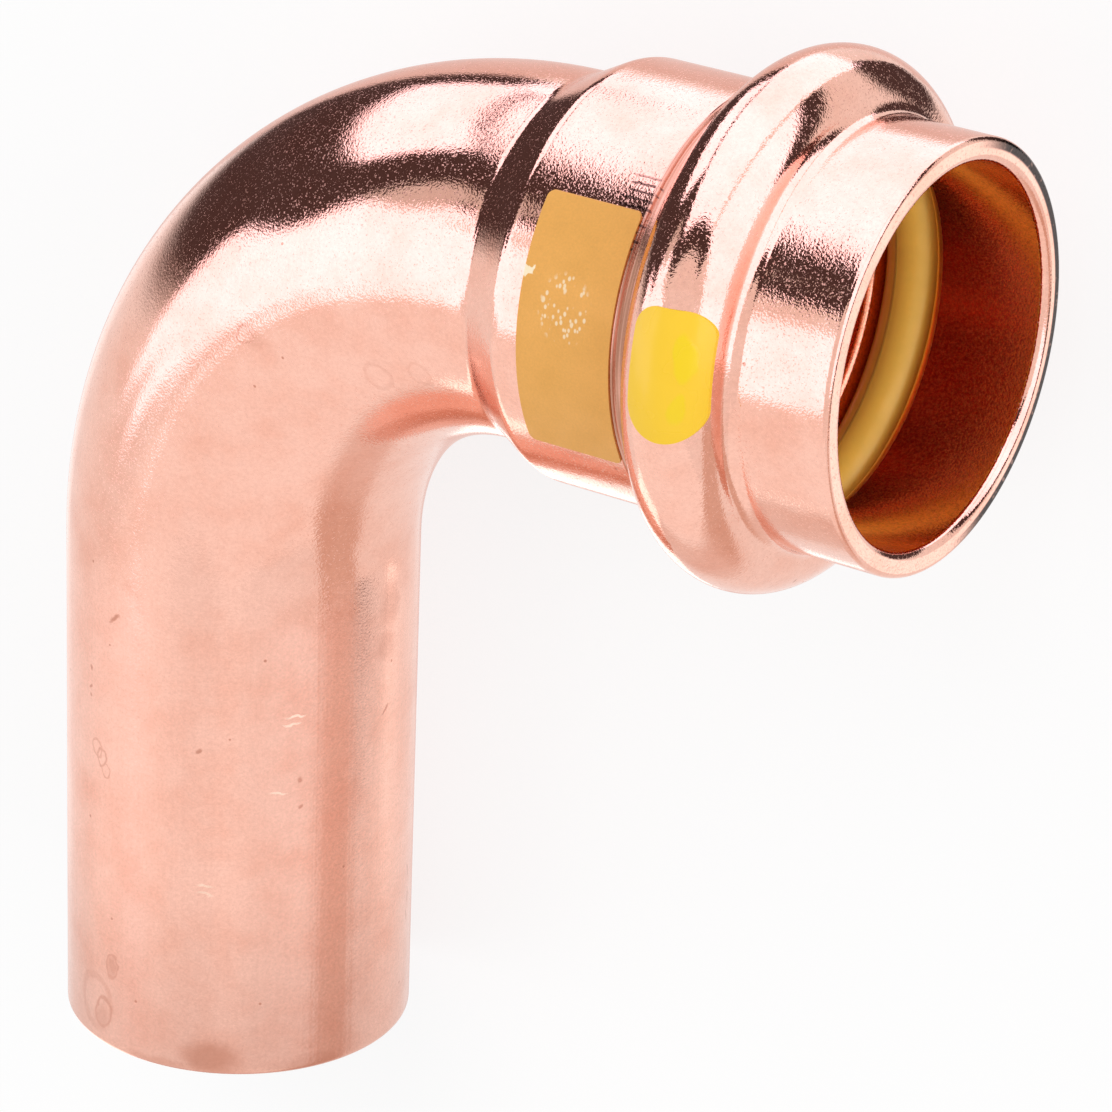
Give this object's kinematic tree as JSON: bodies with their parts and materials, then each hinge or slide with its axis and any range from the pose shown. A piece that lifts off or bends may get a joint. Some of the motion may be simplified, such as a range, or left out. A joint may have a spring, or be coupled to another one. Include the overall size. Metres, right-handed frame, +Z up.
{
  "type": "press fit pipe elbow",
  "caption": "Copper right-angle pipe elbow with a plain end and a press socket that holds a yellow seal ring in its round bead.",
  "frame": {"origin": "middle of the lying elbow's outline, on the surface that it rests on", "axes": "+Z up, -Y along the plain end to its cut edge, +X towards the press socket, which rises a little because its bead is thicker than the tube"},
  "size_m": [0.0612, 0.0718, 0.0316],
  "materials": {
    "copper": "satin drawn copper, brighter on the formed socket",
    "seal_rubber": "smooth moulded rubber",
    "field_ink": "satin printing ink with worn specks",
    "dot_paint": "glossy paint"
  },
  "bodies": {
    "root": {"elbow_body": "copper", "seal_ring": "seal_rubber", "marking_field": "field_ink", "marking_dot": "dot_paint"}
  },
  "joints": []
}
